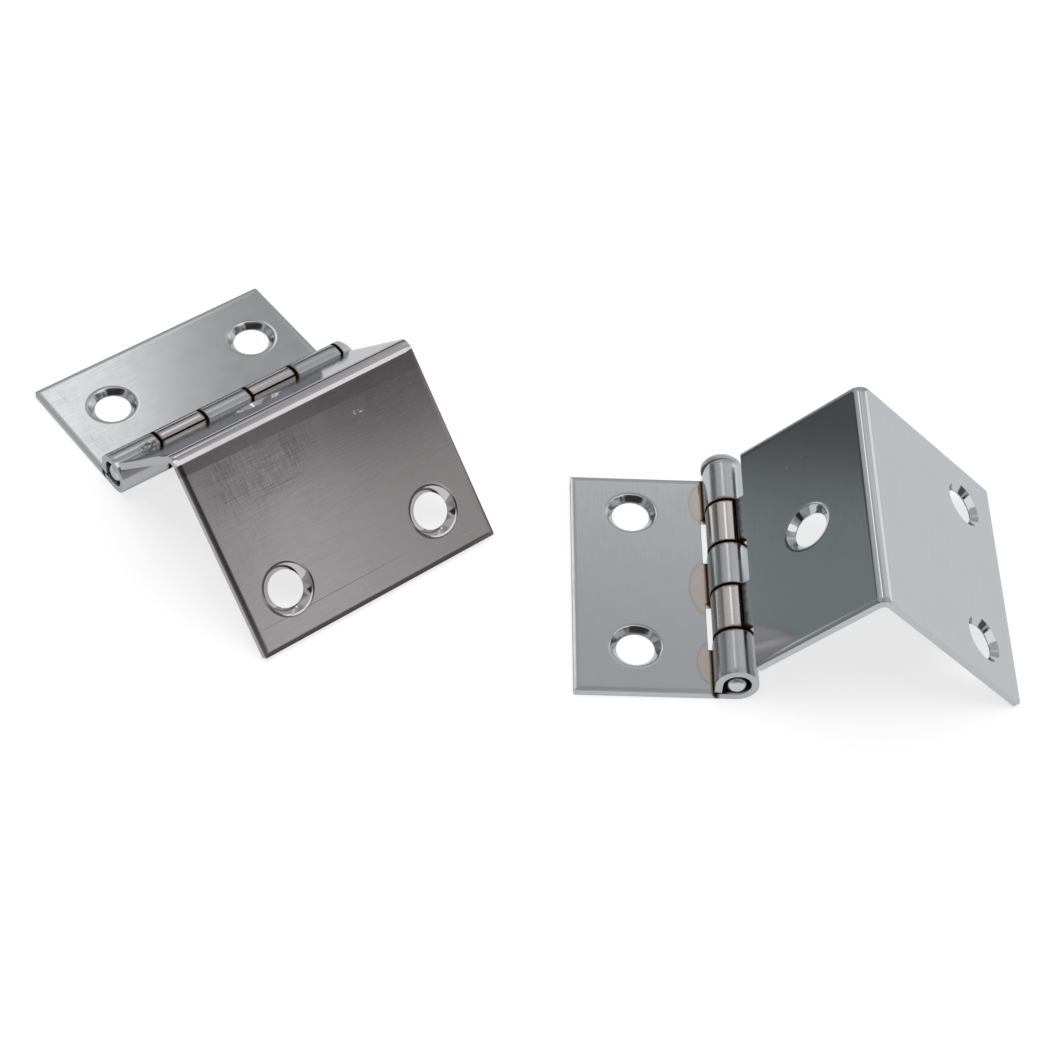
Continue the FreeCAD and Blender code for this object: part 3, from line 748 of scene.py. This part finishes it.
# Soft cards round the table, in degrees: azimuth from +Y towards +X, elevation, half width, half
# height and softness of the edges, then the level and its tint, and how much the card's level
# edges rise for each degree of azimuth. Later cards cover earlier ones.
CARDS = [
    # Behind the table, high: what the flat leaves and the tops of the barrels reflect.
    {"at": (-12, 66), "half": (26, 12), "soft": 10, "tint": (0.42, 0.42, 0.43)},
    {"at": (0, 85), "half": (190, 8), "soft": 4, "tint": (1.55, 1.52, 1.53)},
    {"at": (-13, 5), "half": (12, 15), "soft": 5, "tint": (0.12, 0.12, 0.12)},
    {"at": (-26, 44), "half": (12, 9), "soft": 6, "tint": (0.65, 0.65, 0.66)},
    {"at": (-12, 29), "half": (16, 9), "soft": 5, "tint": (0.55, 0.56, 0.60)},
    {"at": (-13.5, 46), "half": (5, 7), "soft": 3.2, "tint": (1.60, 1.56, 1.56)},
    {"at": (-4.5, 44), "half": (4, 9), "soft": 3.2, "tint": (0.48, 0.48, 0.48)},
    {"at": (14, 46), "half": (15, 4), "soft": 4, "tint": (0.88, 0.86, 0.89)},
    {"at": (14, 53), "half": (14, 4), "soft": 3, "tint": (0.60, 0.59, 0.60)},
    {"at": (16, 6), "half": (8, 8), "soft": 5, "tint": (1.0, 1.0, 1.0)},
    # Right of it: a light wall, brighter where the right hinge's fold reflects it.
    {"at": (60, 12), "half": (20, 19), "soft": 6, "tint": (0.92, 0.96, 0.97)},
    {"at": (46, 22), "half": (9, 11), "soft": 5, "tint": (1.28, 1.30, 1.31)},
    {"at": (33, 39), "half": (6, 4), "soft": 3, "tint": (0.92, 0.93, 0.94)},
    # Left of it: a dark wall with a few lighter patches.
    {"at": (-60, 4), "half": (22, 22), "soft": 10, "tint": (0.28, 0.31, 0.31)},
    {"at": (-43, 10), "half": (4.6, 16), "soft": 2.5, "tint": (0.11, 0.11, 0.12)},
    {"at": (-80, 38), "half": (28, 16), "soft": 10, "tint": (0.26, 0.26, 0.27)},
    {"at": (-86, 18), "half": (14, 10), "soft": 6, "tint": (0.55, 0.55, 0.55)},
    {"at": (-55, 0), "half": (6, 6), "soft": 5, "tint": (0.48, 0.50, 0.50)},
    {"at": (-57, 7.5), "half": (4, 3.5), "soft": 2.5, "tint": (0.9, 0.9, 0.9)},
    # Front right: a light ceiling over dark cards, lighter towards their lower right.
    {"at": (110, 57), "half": (40, 20), "soft": 4, "tint": (1.30, 1.28, 1.29)},
    {"at": (115, 32.5), "half": (26, 7.5), "soft": 1.5, "tint": (0.165, 0.15, 0.155)},
    {"at": (115, 26), "half": (26, 7.9), "soft": 2.5, "tint": (0.45, 0.43, 0.43), "lean": 0.35},
    {"at": (121, 28), "half": (5, 8), "soft": 3, "tint": (0.43, 0.41, 0.415)},
    {"at": (128, 18.7), "half": (11.9, 10), "soft": 4, "tint": (0.65, 0.62, 0.625), "lean": -0.57},
    {"at": (107, 14), "half": (29, 11), "soft": 4, "tint": (0.13, 0.12, 0.12)},
    {"at": (131, 38), "half": (8, 5), "soft": 3, "tint": (0.06, 0.06, 0.06)},
    # The dim room behind the camera, with a dark band across it.
    {"at": (168, 38), "half": (30, 26), "soft": 12, "tint": (0.34, 0.335, 0.335)},
    {"at": (-168, 38), "half": (30, 26), "soft": 12, "tint": (0.34, 0.335, 0.335)},
    {"at": (165, 42), "half": (19, 8.5), "soft": 4, "tint": (0.04, 0.035, 0.035)},
    {"at": (-151, 42), "half": (29, 8.5), "soft": 4, "tint": (0.04, 0.035, 0.035)},
]
# The plain room behind the cards, from the horizon up, and the strength of the whole.
ROOM_LOW = (0.42, 0.43, 0.45)
ROOM_HIGH = (0.62, 0.62, 0.63)
ROOM_STRENGTH = 1.05
# The lamp overhead: its place and side in metres, and its power in watts.
LAMP_PLACE = (-0.1, 0.1, 0.9)
LAMP_SIDE = 0.6
LAMP_POWER = 2.2
# The camera, as solved from the photograph: its place in metres, its own three directions, and
# the width of its sensor in millimetres.
CAMERA_PLACE = (-0.01069, -0.24460, 0.27178)
CAMERA_RIGHT = (0.99883852, -0.00186198, 0.04814709)
CAMERA_UP = (-0.03016864, 0.75497244, 0.65506219)
CAMERA_BACK = (-0.03756944, -0.65575388, 0.75403938)
SENSOR_WIDTH = 36.0


class HINGES_OT_stage(bpy.types.Operator):
    """Lay the pale floor and set the soft studio light and the camera"""
    bl_idname = "hinges.stage"
    bl_label = "Stage"

    def lay_floor(self, stage):
        """A matt floor that keeps the shadow, and glows a little where it is seen or mirrored."""
        deselect_all()
        bpy.ops.mesh.primitive_plane_add(size=stage.floor_size, location=(0, 0, 0))
        floor = bpy.context.object
        floor.name = floor.data.name = "floor"
        material = bpy.data.materials.new("pale_floor")
        material.use_nodes = True
        w = Wires(material.node_tree)
        matt = w.node("ShaderNodeBsdfDiffuse")
        matt.inputs["Color"].default_value = (*stage.floor_tint, 1)
        ray = w.node("ShaderNodeLightPath")
        seen = w.math("MAXIMUM", ray.outputs["Is Camera Ray"], ray.outputs["Is Glossy Ray"])
        seen = w.math("MAXIMUM", seen, ray.outputs["Is Transmission Ray"])
        glow = w.node("ShaderNodeEmission")
        w.join(w.math("MULTIPLY", seen, stage.floor_glow), glow.inputs["Strength"])
        both = w.node("ShaderNodeAddShader")
        w.join(matt.outputs[0], both.inputs[0])
        w.join(glow.outputs[0], both.inputs[1])
        out = w.node("ShaderNodeOutputMaterial")
        w.join(both.outputs[0], out.inputs["Surface"])
        floor.data.materials.append(material)

    def hang_cards(self, scene):
        """The world's colour: soft cards by azimuth and elevation, over a plain room."""
        world = bpy.data.worlds.new("studio")
        scene.world = world
        world.use_nodes = True
        w = Wires(world.node_tree)
        x, y, z = w.parts(w.node("ShaderNodeTexCoord").outputs["Generated"])
        azimuth = w.math("MULTIPLY", w.math("ARCTAN2", x, y), math.degrees(1))
        elevation = w.math("MULTIPLY", w.math("ARCSINE", z), math.degrees(1))
        colour = w.mix(w.ramp(z, -0.1, 0.9), ROOM_LOW, ROOM_HIGH)
        for card in CARDS:
            mask = 1.0
            beside = w.math("SUBTRACT", azimuth, card["at"][0])
            rise = w.math("MULTIPLY", beside, card.get("lean", 0.0))
            angles = (azimuth, w.math("SUBTRACT", elevation, rise))
            for angle, middle, half in zip(angles, card["at"], card["half"]):
                off = w.math("ABSOLUTE", w.math("SUBTRACT", angle, middle))
                blur = card["soft"] / 2
                edge = w.ramp(off, half - blur, half + blur, 1.0, 0.0)
                mask = w.math("MULTIPLY", mask, edge)
            colour = w.mix(mask, colour, card["tint"])
        shade = w.node("ShaderNodeBackground")
        shade.inputs["Strength"].default_value = ROOM_STRENGTH
        w.join(colour, shade.inputs["Color"])
        out = w.node("ShaderNodeOutputWorld")
        w.join(shade.outputs[0], out.inputs["Surface"])

    def hang_lamp(self, scene):
        """A soft lamp that casts the shadow and isn't seen in the plating."""
        lamp = bpy.data.lights.new("overhead_lamp", "AREA")
        lamp.shape = "SQUARE"
        lamp.size = LAMP_SIDE
        lamp.energy = LAMP_POWER
        holder = bpy.data.objects.new("overhead_lamp", lamp)
        scene.collection.objects.link(holder)
        holder.visible_glossy = False
        holder.location = LAMP_PLACE
        holder.rotation_euler = (-Vector(LAMP_PLACE)).to_track_quat("-Z", "Y").to_euler()

    def set_camera(self, scene, stage):
        """The camera at the photograph's viewing angle."""
        lens = bpy.data.cameras.new("camera")
        lens.lens = stage.lens
        lens.sensor_width = SENSOR_WIDTH
        lens.clip_start = 0.01
        camera = bpy.data.objects.new("camera", lens)
        scene.collection.objects.link(camera)
        turn = Matrix((CAMERA_RIGHT, CAMERA_UP, CAMERA_BACK)).transposed()
        camera.matrix_world = Matrix.Translation(CAMERA_PLACE) @ turn.to_4x4()
        scene.camera = camera

    def execute(self, context):
        scene = context.scene
        stage = scene.hinge_stage
        self.lay_floor(stage)
        self.hang_cards(scene)
        self.hang_lamp(scene)
        self.set_camera(scene, stage)
        scene.view_settings.view_transform = "Standard"
        return {"FINISHED"}


class HINGES_PT_panel(bpy.types.Panel):
    bl_label = "Wrap-around hinges"
    bl_idname = "HINGES_PT_panel"
    bl_space_type = "VIEW_3D"
    bl_region_type = "UI"
    bl_category = "Hinges"

    def draw(self, context):
        layout = self.layout
        for operator in ORDER:
            layout.operator(operator.bl_idname)
        for settings in SETTINGS.values():
            group = getattr(context.scene, settings)
            for key in group.bl_rna.properties.keys():
                if key not in ("rna_type", "name"):
                    layout.prop(group, key)


ORDER = (HINGES_OT_flat_leaves, HINGES_OT_wrap_leaves, HINGES_OT_pins, HINGES_OT_stage)
SETTINGS = {
    PlatingSettings: "hinge_plating",
    BarrelSettings: "hinge_barrel",
    StageSettings: "hinge_stage",
}
CLASSES = (*SETTINGS, *ORDER, HINGES_PT_panel)


def register():
    for made in CLASSES:
        bpy.utils.register_class(made)
    for group, key in SETTINGS.items():
        setattr(bpy.types.Scene, key, PointerProperty(type=group))


def unregister():
    for key in SETTINGS.values():
        delattr(bpy.types.Scene, key)
    for made in reversed(CLASSES):
        bpy.utils.unregister_class(made)


def main():
    register()
    bpy.ops.hinges.flat_leaves()
    bpy.ops.hinges.wrap_leaves()
    bpy.ops.hinges.pins()
    bpy.ops.hinges.stage()


if __name__ == "__main__":
    main()
